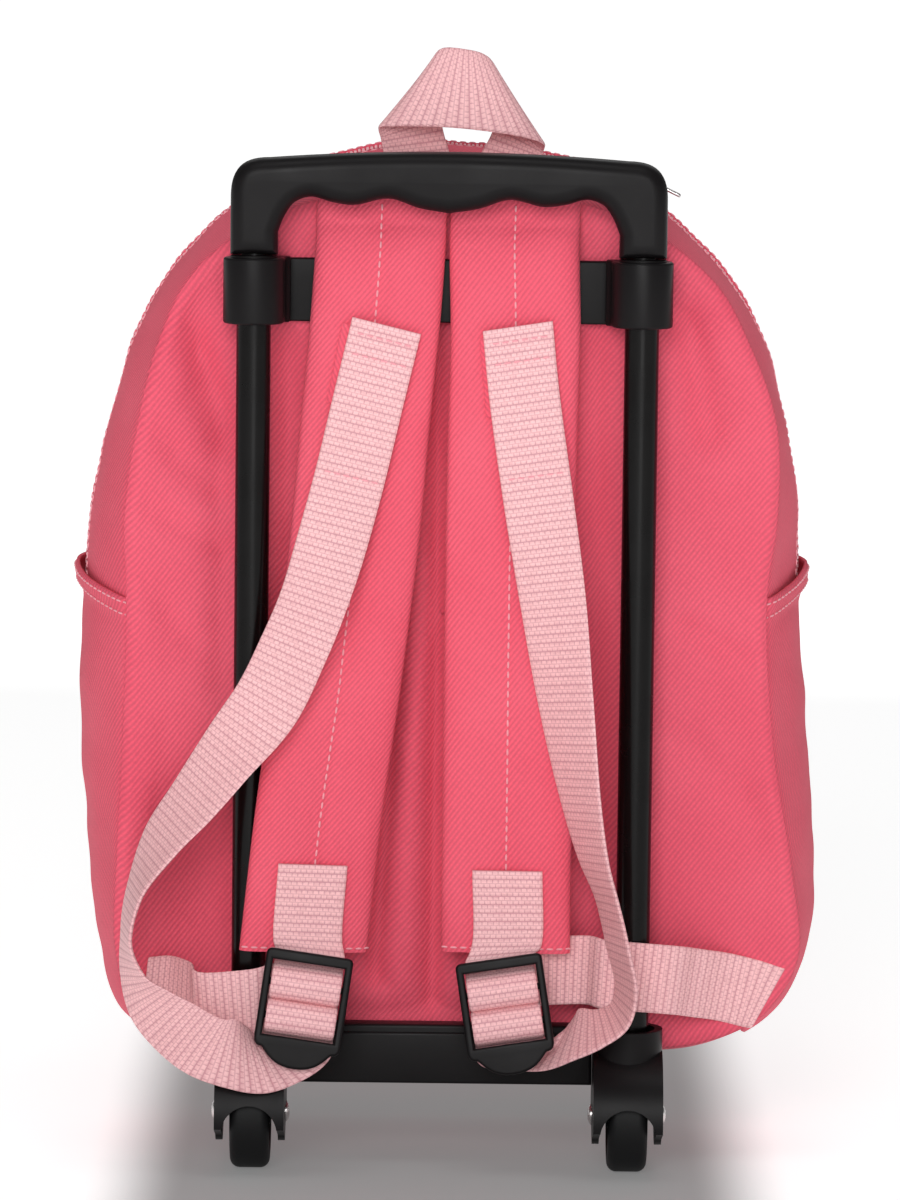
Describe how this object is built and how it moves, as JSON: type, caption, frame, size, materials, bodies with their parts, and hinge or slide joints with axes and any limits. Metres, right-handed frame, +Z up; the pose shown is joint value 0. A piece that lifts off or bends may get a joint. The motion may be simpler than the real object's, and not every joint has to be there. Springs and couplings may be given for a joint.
{
  "type": "wheeled backpack",
  "caption": "Child's soft backpack on a two-wheel trolley frame with a pull-out handle, padded shoulder straps and webbing grab loop",
  "frame": {"origin": "on the floor under the middle of the bounding box", "axes": "+Z up along the bag's height, -Y out of the worn side with the straps and the trolley, +X to the right of someone who looks at that side"},
  "size_m": [0.2686, 0.158, 0.3943],
  "materials": {
    "bag_cloth": "woven polyester, coral pink",
    "strap_cloth": "woven polyester over foam, coral pink",
    "webbing": "ribbed polypropylene webbing, pale pink",
    "zip_tape": "knitted tape with a coil chain, pale pink",
    "black_plastic": "satin moulded plastic",
    "black_tube": "gloss black paint",
    "wheel_rubber": "matte",
    "plated_metal": "dark plated"
  },
  "bodies": {
    "bag": {"back_panel": "bag_cloth", "front_panel": "bag_cloth", "lower_gusset": "bag_cloth", "top_gusset_back": "bag_cloth", "top_gusset_front": "bag_cloth", "side_pocket_left": "bag_cloth", "side_pocket_right": "bag_cloth", "shoulder_strap_left": "strap_cloth", "shoulder_strap_right": "strap_cloth", "strap_patch_left": "strap_cloth", "strap_patch_right": "strap_cloth", "anchor_webbing_left": "webbing", "anchor_webbing_right": "webbing", "adjusting_webbing_left": "webbing", "adjusting_webbing_right": "webbing", "buckle_tab_left": "webbing", "buckle_tab_right": "webbing", "grab_handle": "webbing", "zip": "zip_tape", "zip_slider": "plated_metal", "buckle_left": "black_plastic", "buckle_right": "black_plastic", "collar_left": "black_plastic", "collar_right": "black_plastic", "wheel_housing_left": "black_plastic", "wheel_housing_right": "black_plastic", "upper_crossbar": "black_plastic", "lower_crossbar": "black_plastic", "front_stand": "black_plastic", "outer_tube_left": "black_tube", "outer_tube_right": "black_tube", "axle_left": "plated_metal", "axle_right": "plated_metal"},
    "handle": {"handle_grip": "black_plastic", "inner_tube_left": "black_tube", "inner_tube_right": "black_tube"},
    "left_wheel": {"wheel_left": "wheel_rubber"},
    "right_wheel": {"wheel_right": "wheel_rubber"}
  },
  "joints": [
    {"name": "handle_slide", "type": "slide", "parent": "bag", "child": "handle", "axis": [0, 0, 1], "range_m": [0, 0.21]},
    {"name": "wheel_left_spin", "type": "hinge", "parent": "bag", "child": "left_wheel", "pos_m": [-0.0664, -0.04622, 0.02], "axis": [1, 0, 0], "continuous": true},
    {"name": "wheel_right_spin", "type": "hinge", "parent": "bag", "child": "right_wheel", "pos_m": [0.0664, -0.04622, 0.02], "axis": [1, 0, 0], "continuous": true}
  ]
}
